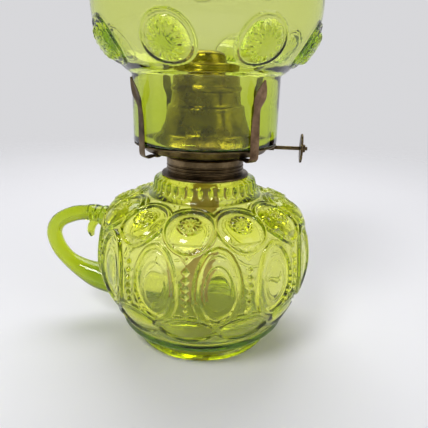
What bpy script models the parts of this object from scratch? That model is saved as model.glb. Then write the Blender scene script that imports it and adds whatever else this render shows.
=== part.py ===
"""Pressed glass finger lamp with a flat wick burner and a glass shade.

Metres, +Z up. The origin is under the middle of the whole lamp, handle included, at the
underside of the foot; the lamp's own axis stands at LAMP_X. The handle is on the -X side,
the wick knob on the +X side and the four prongs on the diagonals. Each piece is modelled
about the lamp's axis, and an empty there carries them all.
"""

import math

import bmesh
import bpy
from mathutils import Vector

NAME = "oil_lamp"

# Clearances
GAP = 0.0003  # between neighbouring pieces
RUN = 0.0001  # radial, between the shaft and its bearings

# Font, the glass bowl on its foot
FOOT_RADIUS = 0.0387
FOOT_HEIGHT = 0.0096
FOOT_LIP = 0.0025
FOOT_RING = 0.0057  # width of the flat ring that the lamp stands on
FOOT_RECESS = 0.0055
WAIST_RADIUS = 0.0362
BOWL_BASE_RADIUS = 0.0470
BOWL_RADIUS = 0.0602
BOWL_EQUATOR_Z = 0.0485
SHOULDER_RADIUS = 0.0550
SHOULDER_Z = 0.0735
BOWL_TOP_Z = 0.0936
GLASS_WALL = 0.0036
FLOOR_Z = 0.0125
BEAD_RING_SIZE = 0.0048
BEAD_RING_STEP = 0.0036  # how far the bead ring stands out beyond the collar's flange

# Handle
HANDLE_REACH = 0.0313  # from the bowl's side to the middle of the loop's outer run
HANDLE_TOP_Z = 0.0670
HANDLE_MIDDLE_Z = 0.0525
HANDLE_BOTTOM_Z = 0.0245
HANDLE_THICKNESS = 0.0088
HANDLE_ROOT_THICKNESS = 0.0158

# Collar and burner base
THREAD_RADIUS = 0.0159  # a No. 2 burner, 1 1/4 inch
THREAD_DEPTH = 0.0078
SHEET = 0.0005
NECK_WALL = 0.0016
NECK_HEIGHT = 0.0064
CEMENT = 0.0005
COLLAR_WALL = 0.0012
COLLAR_HEIGHT = 0.0102
COLLAR_FLANGE_WIDTH = 0.0029
COLLAR_FLANGE = 0.0013
COLLAR_RIDGES = 3
COLLAR_RIDGE = 0.0007
SKIRT_STOP = 0.0023
SKIRT_NECK_HEIGHT = 0.0026

# Wick and its tube
WICK_WIDTH = 0.0160  # 5/8 inch
WICK_THICKNESS = 0.0018
WICK_FLOOR_ROOM = 0.0047  # under the wick, for it to be wound down
TUBE_DROP = 0.0080  # from the deflector's top to the tube's
TUBE_BOTTOM = 0.0020  # below the base plate
VENT_RADIUS = 0.0012
VENT_BORE = 0.0007
VENT_HEIGHT = 0.0210
VENT_Y = -0.0066

# Pan, gallery and deflector
PAN_WALL_WIDTH = 0.0027
LEDGE_WIDTH = 0.0034
PLATE_HOLE_RADIUS = 0.0125
AIR_RING_WIDTH = 0.0052  # of the gallery plate outside the deflector
OUTER_AIR_HOLES = (16, 0.0011)  # count, radius
INNER_AIR_HOLES = (12, 0.0015)
DEFLECTOR_HEIGHT = 0.0441
DEFLECTOR_WAIST = 0.0176
SLOT_WIDTH = 0.0040
SLOT_MARGIN = 0.0008
CAP_RIM = 0.0012

# Wick winder
SHAFT_RADIUS = 0.0010
SHAFT_END_X = 0.0545
SPUR_RADIUS = 0.0030
SPUR_THICKNESS = 0.0012
SPUR_X = 0.0045
SPUR_TEETH = 12
SPUR_TOOTH = 0.0008
BEARING_WIDTH = 0.0044
BUSH_WALL = 0.0005
BUSH_LENGTH = 0.0050
KNOB_RADIUS = 0.0078
KNOB_SCALLOP = 0.0003
KNOB_SCALLOPS = 14
KNOB_THICKNESS = 0.0012
KNOB_X = 0.0512
COLLET_RADIUS = 0.0021
COLLET_LENGTH = 0.0012

# Prongs
PRONG_COUNT = 4
PRONG_FIRST_ANGLE = math.radians(45)
PRONG_SHEET = 0.0006
PRONG_HALF_WIDTH = 0.00275
PRONG_SHORT = 0.0014  # from the prong's tip up to the foot of the bulb
PRONG_ROOT_INSET = 0.0018  # from the edge of the pan's floor
PRONG_TAIL = 0.0018
RIVET_RADIUS = 0.0010
RIVET_HEAD_RADIUS = 0.0018
RIVET_HEAD = 0.0007

# Shade
FITTER_RADIUS = 0.0379  # 3 inch
FITTER_HEIGHT = 0.0332
SHADE_WALL = 0.0026
BULB_RADIUS = 0.0565
BULB_HEIGHT = 0.0640
SHADE_NECK_RADIUS = 0.0310
SHADE_RIM_RADIUS = 0.0385
SHADE_CROWN_HEIGHT = 0.0440

# Places that follow from the sizes above, from the lamp's axis
LAMP_X = (HANDLE_REACH + HANDLE_THICKNESS / 2) / 2
NECK_INNER = THREAD_RADIUS + GAP + SHEET + GAP
NECK_OUTER = NECK_INNER + NECK_WALL
COLLAR_INNER = NECK_OUTER + GAP + CEMENT + GAP
COLLAR_RADIUS = COLLAR_INNER + COLLAR_WALL
COLLAR_FLANGE_RADIUS = COLLAR_RADIUS + COLLAR_FLANGE_WIDTH
COLLAR_Z = BOWL_TOP_Z + GAP
COLLAR_TOP_Z = COLLAR_Z + COLLAR_HEIGHT
BEAD_RING_RADIUS = COLLAR_FLANGE_RADIUS + BEAD_RING_STEP
SKIRT_Z = COLLAR_TOP_Z + GAP
SKIRT_INNER = THREAD_RADIUS - SHEET
SKIRT_TOP_Z = SKIRT_Z + SKIRT_NECK_HEIGHT
BASE_PLATE_Z = SKIRT_Z - THREAD_DEPTH + GAP
PAN_Z = SKIRT_TOP_Z + GAP
SHAFT_Z = PAN_Z + SHEET + GAP + SHAFT_RADIUS
SHAFT_Y = WICK_THICKNESS / 2 + GAP + SPUR_RADIUS
BUSH_RADIUS = SHAFT_RADIUS + RUN + BUSH_WALL
LEDGE_Z = SHAFT_Z + BUSH_RADIUS + 2 * GAP
LEDGE_RADIUS = FITTER_RADIUS - 0.0001
PAN_FLOOR_RADIUS = LEDGE_RADIUS - LEDGE_WIDTH - PAN_WALL_WIDTH
SHADE_Z = LEDGE_Z + SHEET + GAP
PLATE_Z = SHADE_Z
PLATE_RADIUS = FITTER_RADIUS - SHADE_WALL - 2 * GAP
DEFLECTOR_RADIUS = PLATE_RADIUS - AIR_RING_WIDTH
DEFLECTOR_Z = PLATE_Z + SHEET + GAP
TUBE_HALF_WIDTH = WICK_WIDTH / 2 + GAP + SHEET
TUBE_HALF_DEPTH = WICK_THICKNESS / 2 + GAP + SHEET
BEARING_X = TUBE_HALF_WIDTH + GAP + SHEET / 2
SLOT_HALF_LENGTH = WICK_WIDTH / 2 + SLOT_MARGIN
CAP_RADIUS = SLOT_HALF_LENGTH + CAP_RIM
TUBE_TOP_Z = DEFLECTOR_Z + DEFLECTOR_HEIGHT - TUBE_DROP
WICK_TOP_Z = DEFLECTOR_Z + DEFLECTOR_HEIGHT - 0.0008
WICK_BOTTOM_Z = FLOOR_Z + WICK_FLOOR_ROOM
WICK_LOOSE_Z = BOWL_TOP_Z - 0.0120  # below this the wick hangs free
PRONG_ARM_Z = PAN_Z - GAP - PRONG_SHEET / 2
PRONG_REACH = FITTER_RADIUS + GAP + PRONG_SHEET / 2
PRONG_ROOT = PAN_FLOOR_RADIUS - PRONG_ROOT_INSET
PRONG_HEIGHT = SHADE_Z + FITTER_HEIGHT - PRONG_ARM_Z - PRONG_SHORT

ROUND_STEPS = 32
SMALL_STEPS = 24


def clear_scene():
    for obj in list(bpy.data.objects):
        bpy.data.objects.remove(obj)


def collection(name):
    made = bpy.data.collections.new(name)
    bpy.context.scene.collection.children.link(made)
    return made


def material(name, colour, roughness, metallic=0.0, transmission=0.0):
    made = bpy.data.materials.new(name)
    made.use_nodes = True
    shader = made.node_tree.nodes["Principled BSDF"]
    shader.inputs["Base Color"].default_value = (*colour, 1.0)
    shader.inputs["Roughness"].default_value = roughness
    shader.inputs["Metallic"].default_value = metallic
    shader.inputs["Transmission Weight"].default_value = transmission
    return made


def green_glass(name):
    return material(name, (0.55, 0.68, 0.16), 0.05, transmission=0.9)


def aged_brass(name):
    return material(name, (0.32, 0.24, 0.14), 0.42, metallic=1.0)


def new_object(name, mesh, look):
    obj = bpy.data.objects.new(name, mesh)
    PARTS.objects.link(obj)
    mesh.materials.clear()
    mesh.materials.append(look)
    return obj


def cutter(obj):
    """Makes obj a helper that cuts others and is no part itself."""
    for holder in list(obj.users_collection):
        holder.objects.unlink(obj)
    CUTTERS.objects.link(obj)
    obj.hide_render = True
    obj.display_type = "WIRE"
    return obj


def cut(obj, tool):
    """Cuts tool out of obj."""
    modifier = obj.modifiers.new("cut_" + tool.name, "BOOLEAN")
    modifier.operation = "DIFFERENCE"
    modifier.object = tool


def evaluated_mesh(obj):
    """A closed mesh of obj with its modifiers, or its curve bevel, in it."""
    bpy.context.view_layer.update()
    graph = bpy.context.evaluated_depsgraph_get()
    mesh = bpy.data.meshes.new_from_object(obj.evaluated_get(graph))
    soft = bmesh.new()
    soft.from_mesh(mesh)
    bmesh.ops.remove_doubles(soft, verts=soft.verts, dist=0.000001)
    bmesh.ops.recalc_face_normals(soft, faces=soft.faces)
    soft.to_mesh(mesh)
    soft.free()
    return mesh


def smooth(mesh):
    mesh.shade_smooth()
    mesh.set_sharp_from_angle(angle=math.radians(35))


def bezier(start, first, second, end, count):
    """Points along a cubic curve after its start, up to and with its end."""
    points = []
    for i in range(1, count + 1):
        t = i / count
        weights = ((1 - t) ** 3, 3 * t * (1 - t) ** 2, 3 * t * t * (1 - t), t**3)
        nodes = (start, first, second, end)
        points.append(tuple(sum(w * p[k] for w, p in zip(weights, nodes)) for k in (0, 1)))
    return points


def inward(path, distance):
    """A (radius, height) path that runs down an outer side, moved in by distance."""
    moved = []
    for i, (radius, height) in enumerate(path):
        before = Vector(path[max(i - 1, 0)])
        after = Vector(path[min(i + 1, len(path) - 1)])
        here = Vector((radius, height))
        runs = [run.normalized() for run in (here - before, after - here) if run.length > 0]
        along = sum(runs, Vector((0, 0))).normalized()
        stretch = max(0.6, along.dot(runs[0]))
        moved_radius = radius + along.y * distance / stretch
        moved_height = height - along.x * distance / stretch
        moved.append((max(moved_radius, 0.0) if radius > 0 else 0.0, moved_height))
    return moved


def shell_outline(path, wall):
    """The outline of a wall whose outer side is path."""
    return path + inward(path, wall)[::-1]


def turned(name, outline, look, steps=ROUND_STEPS):
    """A body of revolution. The outline runs down the outer side; it starts and ends on
    the axis, or it is a closed loop."""
    soft = bmesh.new()
    points = [soft.verts.new((radius, 0, height)) for radius, height in outline]
    for a, b in zip(points, points[1:]):
        soft.edges.new((a, b))
    if outline[0][0] > 0:
        soft.edges.new((points[-1], points[0]))
    mesh = bpy.data.meshes.new(name)
    soft.to_mesh(mesh)
    soft.free()
    obj = new_object(name, mesh, look)
    screw = obj.modifiers.new("turn", "SCREW")
    screw.steps = steps
    screw.render_steps = steps
    screw.use_merge_vertices = True
    screw.merge_threshold = 0.00002
    screw.use_smooth_shade = True
    return obj


def circle(radius, count, centre=(0.0, 0.0), wave=0.0, waves=0):
    points = []
    for i in range(count):
        angle = 2 * math.pi * i / count
        reach = radius + wave * math.cos(waves * angle)
        points.append((centre[0] + reach * math.cos(angle), centre[1] + reach * math.sin(angle)))
    return points


def rounded_rectangle(half_x, half_y, corner, count=3):
    points = []
    for quarter, (sx, sy) in enumerate(((1, 1), (-1, 1), (-1, -1), (1, -1))):
        for i in range(count + 1):
            angle = math.pi / 2 * (quarter + i / count)
            x = sx * (half_x - corner) + corner * math.cos(angle)
            y = sy * (half_y - corner) + corner * math.sin(angle)
            points.append((x, y))
    return points


def flat_piece(name, outlines, thickness, look):
    """A plate in the XY plane: the first outline is its edge and the others are holes."""
    curve = bpy.data.curves.new(name + "_outline", "CURVE")
    curve.dimensions = "2D"
    curve.fill_mode = "BOTH"
    curve.extrude = thickness / 2
    for outline in outlines:
        spline = curve.splines.new("POLY")
        spline.points.add(len(outline) - 1)
        for point, (x, y) in zip(spline.points, outline):
            point.co = (x, y, 0, 1)
        spline.use_cyclic_u = True
    guide = bpy.data.objects.new(name + "_outline", curve)
    PARTS.objects.link(guide)
    mesh = evaluated_mesh(guide)
    bpy.data.objects.remove(guide)
    return new_object(name, mesh, look)


def rod(name, radius, length, look, sides=SMALL_STEPS):
    """A round bar along Z, about its own middle."""
    soft = bmesh.new()
    bmesh.ops.create_cone(
        soft, cap_ends=True, segments=sides, radius1=radius, radius2=radius, depth=length
    )
    mesh = bpy.data.meshes.new(name)
    soft.to_mesh(mesh)
    soft.free()
    smooth(mesh)
    return new_object(name, mesh, look)


def block(name, size, centre, look):
    soft = bmesh.new()
    bmesh.ops.create_cube(soft, size=1)
    bmesh.ops.scale(soft, vec=size, verts=soft.verts)
    mesh = bpy.data.meshes.new(name)
    soft.to_mesh(mesh)
    soft.free()
    obj = new_object(name, mesh, look)
    obj.location = centre
    return obj


def along_x(obj):
    obj.rotation_euler = (0, math.pi / 2, 0)
    return obj


def bowl_side():
    """The bowl's outer side, from the edge of the bead ring down to its base."""
    start = (BEAD_RING_RADIUS - 0.0002, BOWL_TOP_Z - BEAD_RING_SIZE - 0.0018)
    shoulder = (SHOULDER_RADIUS, SHOULDER_Z)
    equator = (BOWL_RADIUS, BOWL_EQUATOR_Z)
    base = (BOWL_BASE_RADIUS, FOOT_HEIGHT + 0.0024)
    reach = SHOULDER_RADIUS - start[0]
    path = [start]
    path += bezier(
        start,
        (start[0] + 0.30 * reach, start[1] - 0.0032),
        (start[0] + 0.78 * reach, SHOULDER_Z + 0.0062),
        shoulder,
        4,
    )
    path += bezier(
        shoulder,
        (SHOULDER_RADIUS + 0.0024, SHOULDER_Z - 0.0048),
        (BOWL_RADIUS, BOWL_EQUATOR_Z + 0.0090),
        equator,
        4,
    )
    path += bezier(
        equator,
        (BOWL_RADIUS, BOWL_EQUATOR_Z - 0.0125),
        (BOWL_BASE_RADIUS + 0.0068, base[1] + 0.0125),
        base,
        5,
    )
    return path


def make_font():
    side = bowl_side()
    cavity = [point for point in inward(side, GLASS_WALL) if point[0] > NECK_INNER][::-1]
    inside = [(0, FLOOR_Z), (cavity[0][0] - 0.006, FLOOR_Z + 0.0004)]
    inside += cavity
    inside += [(NECK_INNER, cavity[-1][1] + 0.0016), (NECK_INNER, BOWL_TOP_Z + NECK_HEIGHT)]
    ring_top = BOWL_TOP_Z - 0.0014
    outside = [
        (NECK_OUTER, BOWL_TOP_Z + NECK_HEIGHT),
        (NECK_OUTER, BOWL_TOP_Z),
        (COLLAR_FLANGE_RADIUS, BOWL_TOP_Z),
        (BEAD_RING_RADIUS, ring_top),
        (BEAD_RING_RADIUS + 0.0006, ring_top - BEAD_RING_SIZE / 2),
        (BEAD_RING_RADIUS, ring_top - BEAD_RING_SIZE),
    ]
    outside += side
    outside += [
        (BOWL_BASE_RADIUS - 0.0030, FOOT_HEIGHT + 0.0004),
        (WAIST_RADIUS + 0.0010, FOOT_HEIGHT),
        (WAIST_RADIUS, FOOT_HEIGHT - 0.0012),
        (WAIST_RADIUS + 0.0004, FOOT_LIP + 0.0030),
        (FOOT_RADIUS, FOOT_LIP),
        (FOOT_RADIUS, 0.0007),
        (FOOT_RADIUS - 0.0006, 0),
        (FOOT_RADIUS - FOOT_RING, 0),
        (FOOT_RADIUS - FOOT_RING - 0.0015, FOOT_RECESS - 0.0012),
        (0, FOOT_RECESS),
    ]
    turned("font", inside + outside, green_glass("font_glass"))


def make_handle():
    """A drawn glass loop with a thin upper and a thick lower root, which end at the bowl."""
    loop_x = BOWL_RADIUS + HANDLE_REACH
    thin = HANDLE_THICKNESS / 2
    thick = HANDLE_ROOT_THICKNESS / 2
    route = (
        (BOWL_RADIUS - 0.0080, HANDLE_TOP_Z - 0.0030, 1.10 * thin),
        (BOWL_RADIUS + 0.0030, HANDLE_TOP_Z - 0.0006, 1.05 * thin),
        (BOWL_RADIUS + 0.0110, HANDLE_TOP_Z, thin),
        (loop_x - 0.0125, HANDLE_TOP_Z - 0.0022, thin),
        (loop_x - 0.0032, HANDLE_MIDDLE_Z + 0.0072, thin),
        (loop_x, HANDLE_MIDDLE_Z, thin),
        (loop_x - 0.0028, HANDLE_MIDDLE_Z - 0.0095, thin),
        (loop_x - 0.0090, HANDLE_BOTTOM_Z + 0.0105, 1.08 * thin),
        (loop_x - 0.0170, HANDLE_BOTTOM_Z + 0.0045, 0.76 * thick),
        (loop_x - 0.0260, HANDLE_BOTTOM_Z + 0.0005, 0.92 * thick),
        (BOWL_RADIUS - 0.0080, HANDLE_BOTTOM_Z - 0.0015, thick),
    )
    curve = bpy.data.curves.new("handle_route", "CURVE")
    curve.dimensions = "3D"
    curve.bevel_depth = 1.0
    curve.bevel_resolution = 4
    curve.resolution_u = 3
    curve.use_fill_caps = True
    spline = curve.splines.new("BEZIER")
    spline.bezier_points.add(len(route) - 1)
    for point, (x, z, radius) in zip(spline.bezier_points, route):
        point.co = (-x, 0, z)
        point.radius = radius
        point.handle_left_type = "AUTO"
        point.handle_right_type = "AUTO"
    guide = bpy.data.objects.new("handle_route", curve)
    PARTS.objects.link(guide)
    handle = new_object("handle", evaluated_mesh(guide), green_glass("handle_glass"))
    bpy.data.objects.remove(guide)
    room = inward(bowl_side(), -GAP)
    top, bottom = room[0][1] + 0.001, room[-1][1] - 0.001
    outline = [(0, top), (room[0][0], top)] + room + [(room[-1][0], bottom), (0, bottom)]
    cut(handle, cutter(turned("handle_room", outline, green_glass("handle_room"))))


def make_collar():
    top = COLLAR_TOP_Z
    flange_top = COLLAR_Z + COLLAR_FLANGE
    sleeve = THREAD_RADIUS + GAP
    outline = [(COLLAR_RADIUS, top)]
    ridge_top = COLLAR_Z + 0.62 * COLLAR_HEIGHT
    ridge_pitch = (ridge_top - flange_top) / COLLAR_RIDGES
    for i in range(COLLAR_RIDGES):
        height = ridge_top - i * ridge_pitch
        outline.append((COLLAR_RADIUS, height + 0.15 * ridge_pitch))
        outline.append((COLLAR_RADIUS - COLLAR_RIDGE, height - 0.35 * ridge_pitch))
    outline += [
        (COLLAR_RADIUS - COLLAR_RIDGE / 2, flange_top),
        (COLLAR_FLANGE_RADIUS, flange_top),
        (COLLAR_FLANGE_RADIUS, COLLAR_Z),
        (COLLAR_INNER, COLLAR_Z),
        (COLLAR_INNER, top - SHEET - 0.0002),
        (sleeve + SHEET, top - SHEET - 0.0002),
        (sleeve + SHEET, COLLAR_Z + 0.0009),
        (sleeve, COLLAR_Z + 0.0009),
        (sleeve, top),
    ]
    turned("collar", outline, aged_brass("collar_brass"))


def make_cement():
    outer = COLLAR_INNER - GAP
    top = COLLAR_TOP_Z - SHEET - 0.0002 - GAP
    neck_top = BOWL_TOP_Z + NECK_HEIGHT + GAP
    outline = [
        (outer, top),
        (outer, BOWL_TOP_Z + GAP),
        (NECK_OUTER + GAP, BOWL_TOP_Z + GAP),
        (NECK_OUTER + GAP, neck_top),
        (NECK_INNER, neck_top),
        (NECK_INNER, top),
    ]
    turned("collar_cement", outline, material("cement", (0.75, 0.72, 0.66), 0.9))


def make_skirt():
    """The burner's screw base, whose stop rests on the collar's rim."""
    neck = THREAD_RADIUS + 0.0010
    bottom = SKIRT_Z - THREAD_DEPTH
    outline = [
        (neck, SKIRT_TOP_Z),
        (neck, SKIRT_Z + 0.0008),
        (THREAD_RADIUS + SKIRT_STOP, SKIRT_Z + 0.0006),
        (THREAD_RADIUS + SKIRT_STOP, SKIRT_Z),
        (THREAD_RADIUS, SKIRT_Z),
        (THREAD_RADIUS, bottom + 0.0004),
        (THREAD_RADIUS - SHEET / 2, bottom),
        (SKIRT_INNER, bottom),
        (SKIRT_INNER, SKIRT_Z + 0.0002),
        (neck - SHEET, SKIRT_Z + 0.0012),
        (neck - SHEET, SKIRT_TOP_Z),
    ]
    turned("burner_skirt", outline, aged_brass("skirt_brass"))


def make_base_plate():
    """Closes the skirt round the wick tube and the vent tube."""
    slot = rounded_rectangle(TUBE_HALF_WIDTH + GAP, TUBE_HALF_DEPTH + GAP, 0.0008)
    vent = circle(VENT_RADIUS + GAP, 12, centre=(0, VENT_Y))
    rim = circle(SKIRT_INNER - GAP, ROUND_STEPS)
    plate = flat_piece("base_plate", (rim, slot, vent), SHEET, aged_brass("base_plate_brass"))
    plate.location.z = BASE_PLATE_Z + SHEET / 2


def make_wick_tube():
    bottom = BASE_PLATE_Z - TUBE_BOTTOM
    top = TUBE_TOP_Z
    outer = rounded_rectangle(TUBE_HALF_WIDTH, TUBE_HALF_DEPTH, 0.0007)
    bore = rounded_rectangle(TUBE_HALF_WIDTH - SHEET, TUBE_HALF_DEPTH - SHEET, 0.0004)
    tube = flat_piece("wick_tube", (outer, bore), top - bottom, aged_brass("wick_tube_brass"))
    tube.location.z = (top + bottom) / 2
    for side, sign in (("left", -1), ("right", 1)):
        window = block(
            "spur_window_" + side,
            (SPUR_THICKNESS + 2 * GAP, 2 * SHEET + GAP, 1.6 * SPUR_RADIUS),
            (sign * SPUR_X, TUBE_HALF_DEPTH, SHAFT_Z),
            aged_brass("spur_window_" + side),
        )
        cut(tube, cutter(window))


def make_vent_tube():
    bottom = BASE_PLATE_Z - TUBE_BOTTOM
    top = bottom + VENT_HEIGHT
    outline = [(VENT_RADIUS, top), (VENT_RADIUS, bottom), (VENT_BORE, bottom), (VENT_BORE, top)]
    tube = turned("vent_tube", outline, aged_brass("vent_tube_brass"), steps=12)
    tube.location.y = VENT_Y


def make_pan():
    """The flared pan with the ledge that the shade stands on."""
    path = [
        (LEDGE_RADIUS, LEDGE_Z),
        (LEDGE_RADIUS - LEDGE_WIDTH, LEDGE_Z - 0.0002),
        (PAN_FLOOR_RADIUS + 0.0008, PAN_Z + 0.0006),
        (PAN_FLOOR_RADIUS, PAN_Z),
        (SKIRT_INNER + 0.0004, PAN_Z),
    ]
    pan = turned("burner_pan", shell_outline(path, SHEET), aged_brass("pan_brass"))
    hole = along_x(rod("shaft_hole", BUSH_RADIUS + GAP, 0.006, aged_brass("shaft_hole")))
    hole.location = (PAN_FLOOR_RADIUS + 0.0018, SHAFT_Y, SHAFT_Z)
    cut(pan, cutter(hole))
    for i in range(PRONG_COUNT):
        hole = rod("rivet_hole_%d" % (i + 1), RIVET_RADIUS + GAP, 0.003, aged_brass("rivet_hole"), 12)
        hole.location = prong_root(i, PAN_Z)
        cut(pan, cutter(hole))


def make_gallery_plate():
    outlines = [circle(PLATE_RADIUS, ROUND_STEPS), circle(PLATE_HOLE_RADIUS, SMALL_STEPS)]
    outer_ring = DEFLECTOR_RADIUS + 0.45 * AIR_RING_WIDTH
    inner_ring = (PLATE_HOLE_RADIUS + DEFLECTOR_RADIUS) / 2
    for ring, (count, radius) in ((outer_ring, OUTER_AIR_HOLES), (inner_ring, INNER_AIR_HOLES)):
        for centre in circle(ring, count):
            outlines.append(circle(radius, 6, centre=centre))
    plate = flat_piece("gallery_plate", outlines, SHEET, aged_brass("gallery_brass"))
    plate.location.z = PLATE_Z + SHEET / 2


def make_deflector():
    """The draught dome, with the flame slot in its cap."""
    base, top, waist = DEFLECTOR_Z, DEFLECTOR_Z + DEFLECTOR_HEIGHT, DEFLECTOR_WAIST
    spread = DEFLECTOR_RADIUS - waist
    lower_bead = base + 0.36 * DEFLECTOR_HEIGHT
    upper_bead = base + 0.57 * DEFLECTOR_HEIGHT
    path = [
        (0, top),
        (0.62 * CAP_RADIUS, top - 0.0002),
        (0.93 * CAP_RADIUS, top - 0.0014),
        (CAP_RADIUS, top - 0.0036),
        (CAP_RADIUS + 0.0002, top - 0.0066),
        (waist - 0.0026, top - 0.0090),
        (waist - 0.0007, top - 0.0112),
        (waist - 0.0001, upper_bead + 0.0012),
        (waist + 0.0008, upper_bead),
        (waist, upper_bead - 0.0012),
        (waist + 0.0006, lower_bead + 0.0026),
        (waist + 0.22 * spread, lower_bead),
        (waist + 0.34 * spread, base + 0.0098),
        (waist + 0.61 * spread, base + 0.0030),
        (waist + 0.88 * spread, base + SHEET + 0.0004),
        (DEFLECTOR_RADIUS, base + SHEET),
        (DEFLECTOR_RADIUS, base),
        (DEFLECTOR_RADIUS - 0.0020, base),
    ]
    under = inward(path[:-3], SHEET)[::-1]
    under[0] = (DEFLECTOR_RADIUS - 0.0020, base + 0.0004)
    deflector = turned("deflector", path[:-1] + under[1:], aged_brass("deflector_brass"), SMALL_STEPS)
    size = (2 * SLOT_HALF_LENGTH, SLOT_WIDTH, 0.0060)
    slot = block("flame_slot", size, (0, 0, top), aged_brass("flame_slot"))
    cut(deflector, cutter(slot))


def bearing_outline():
    """A round-ended tab about the shaft's centre, whose foot reaches past the wick tube."""
    half = BEARING_WIDTH / 2
    foot = -(SHAFT_Y + TUBE_HALF_DEPTH)
    turns = [math.pi * i / 8 for i in range(9)]
    return [(-half, foot), (half, foot)] + [(half * math.cos(a), half * math.sin(a)) for a in turns]


def make_bearings():
    """Two tabs beside the wick tube, which carry the shaft."""
    outlines = (bearing_outline(), circle(SHAFT_RADIUS + RUN, SMALL_STEPS))
    for side, sign in (("left", -1), ("right", 1)):
        tab = along_x(flat_piece("shaft_tab_" + side, outlines, SHEET, aged_brass("tab_brass")))
        tab.location = (sign * BEARING_X, SHAFT_Y, SHAFT_Z)


def make_winder():
    """The shaft with its spur wheels, knob and collet, all turning about the shaft's axis."""
    start = -(BEARING_X + SHEET + GAP)
    shaft = along_x(rod("wick_shaft", SHAFT_RADIUS, SHAFT_END_X - start, aged_brass("shaft_brass")))
    shaft.location = ((start + SHAFT_END_X) / 2, SHAFT_Y, SHAFT_Z)
    bore = circle(SHAFT_RADIUS + GAP, SMALL_STEPS)
    for side, sign in (("left", -1), ("right", 1)):
        teeth = []
        for i in range(2 * SPUR_TEETH):
            reach = SPUR_RADIUS - (i % 2) * SPUR_TOOTH
            angle = math.pi * (i + 1) / SPUR_TEETH
            teeth.append((reach * math.cos(angle), reach * math.sin(angle)))
        look = aged_brass("spur_brass_" + side)
        wheel = along_x(flat_piece("spur_wheel_" + side, (teeth, bore), SPUR_THICKNESS, look))
        wheel.location = (sign * SPUR_X, SHAFT_Y, SHAFT_Z)
    rim = circle(KNOB_RADIUS - KNOB_SCALLOP, 6 * KNOB_SCALLOPS, wave=KNOB_SCALLOP, waves=KNOB_SCALLOPS)
    knob = along_x(flat_piece("knob", (rim, bore), KNOB_THICKNESS, aged_brass("knob_brass")))
    knob.location = (KNOB_X, SHAFT_Y, SHAFT_Z)
    outlines = (circle(COLLET_RADIUS, SMALL_STEPS), bore)
    collet = along_x(flat_piece("knob_collet", outlines, COLLET_LENGTH, aged_brass("collet_brass")))
    collet_x = KNOB_X + KNOB_THICKNESS / 2 + GAP + COLLET_LENGTH / 2
    collet.location = (collet_x, SHAFT_Y, SHAFT_Z)


def make_bush():
    outlines = (circle(BUSH_RADIUS, SMALL_STEPS), circle(SHAFT_RADIUS + RUN, SMALL_STEPS))
    bush = along_x(flat_piece("shaft_bush", outlines, BUSH_LENGTH, aged_brass("bush_brass")))
    bush.location = (PAN_FLOOR_RADIUS + 0.0002 + BUSH_LENGTH / 2, SHAFT_Y, SHAFT_Z)


def prong_angle(index):
    return PRONG_FIRST_ANGLE + 2 * math.pi * index / PRONG_COUNT


def prong_root(index, height):
    """The middle of a prong's rivet, at a height."""
    angle = prong_angle(index)
    return (PRONG_ROOT * math.cos(angle), PRONG_ROOT * math.sin(angle), height)


def prong_route():
    """(distance from the lamp's axis, height, half width) up a prong, about its rivet."""
    out = PRONG_REACH - PRONG_ROOT
    wide = PRONG_HALF_WIDTH
    return (
        (-PRONG_TAIL, 0, wide),
        (out - 0.0055, 0, wide),
        (out - 0.0024, -0.0006, wide),
        (out - 0.0006, 0.0004, wide),
        (out, 0.0025, wide),
        (out, 0.30 * PRONG_HEIGHT, wide),
        (out + 0.0001, 0.52 * PRONG_HEIGHT, 0.87 * wide),
        (out + 0.0006, 0.65 * PRONG_HEIGHT, 0.75 * wide),
        (out + 0.0013, 0.73 * PRONG_HEIGHT, 1.15 * wide),
        (out + 0.0021, 0.80 * PRONG_HEIGHT, 1.27 * wide),
        (out + 0.0032, 0.90 * PRONG_HEIGHT, 0.90 * wide),
        (out + 0.0044, PRONG_HEIGHT, 0.25 * wide),
    )


def prong_mesh():
    """A bent strip with a rivet hole at its own origin."""
    soft = bmesh.new()
    rows = []
    for x, z, half in prong_route():
        rows.append([soft.verts.new((x, y, z)) for y in (-half, half)])
    for (a, b), (c, d) in zip(rows, rows[1:]):
        soft.faces.new((a, b, d, c))
    mesh = bpy.data.meshes.new("prong_strip")
    soft.to_mesh(mesh)
    soft.free()
    strip = new_object("prong_strip", mesh, aged_brass("prong_brass"))
    wall = strip.modifiers.new("wall", "SOLIDIFY")
    wall.thickness = PRONG_SHEET
    wall.offset = 0
    wall.use_even_offset = True
    hole = cutter(rod("prong_hole", RIVET_RADIUS + 1.3 * GAP, 0.003, aged_brass("prong_hole"), 12))
    cut(strip, hole)
    made = evaluated_mesh(strip)
    bpy.data.objects.remove(strip)
    bpy.data.objects.remove(hole)
    return made


def make_prongs():
    mesh = prong_mesh()
    look = aged_brass("prong_brass")
    for i in range(PRONG_COUNT):
        prong = new_object("prong_%d" % (i + 1), mesh, look)
        prong.location = prong_root(i, PRONG_ARM_Z)
        prong.rotation_euler.z = prong_angle(i)


def make_rivets():
    """Rivets that hold the prongs' arms under the pan, with play for the spring to flex."""
    low = PRONG_ARM_Z - PRONG_SHEET / 2 - GAP
    high = PAN_Z + SHEET + GAP
    outline = [
        (0, high + RIVET_HEAD),
        (0.7 * RIVET_HEAD_RADIUS, high + 0.85 * RIVET_HEAD),
        (RIVET_HEAD_RADIUS, high),
        (RIVET_RADIUS, high),
        (RIVET_RADIUS, low),
        (RIVET_HEAD_RADIUS, low),
        (0.7 * RIVET_HEAD_RADIUS, low - 0.85 * RIVET_HEAD),
        (0, low - RIVET_HEAD),
    ]
    for i in range(PRONG_COUNT):
        name = "prong_rivet_%d" % (i + 1)
        rivet = turned(name, outline, aged_brass("rivet_brass"), steps=12)
        rivet.location = prong_root(i, 0)


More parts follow.
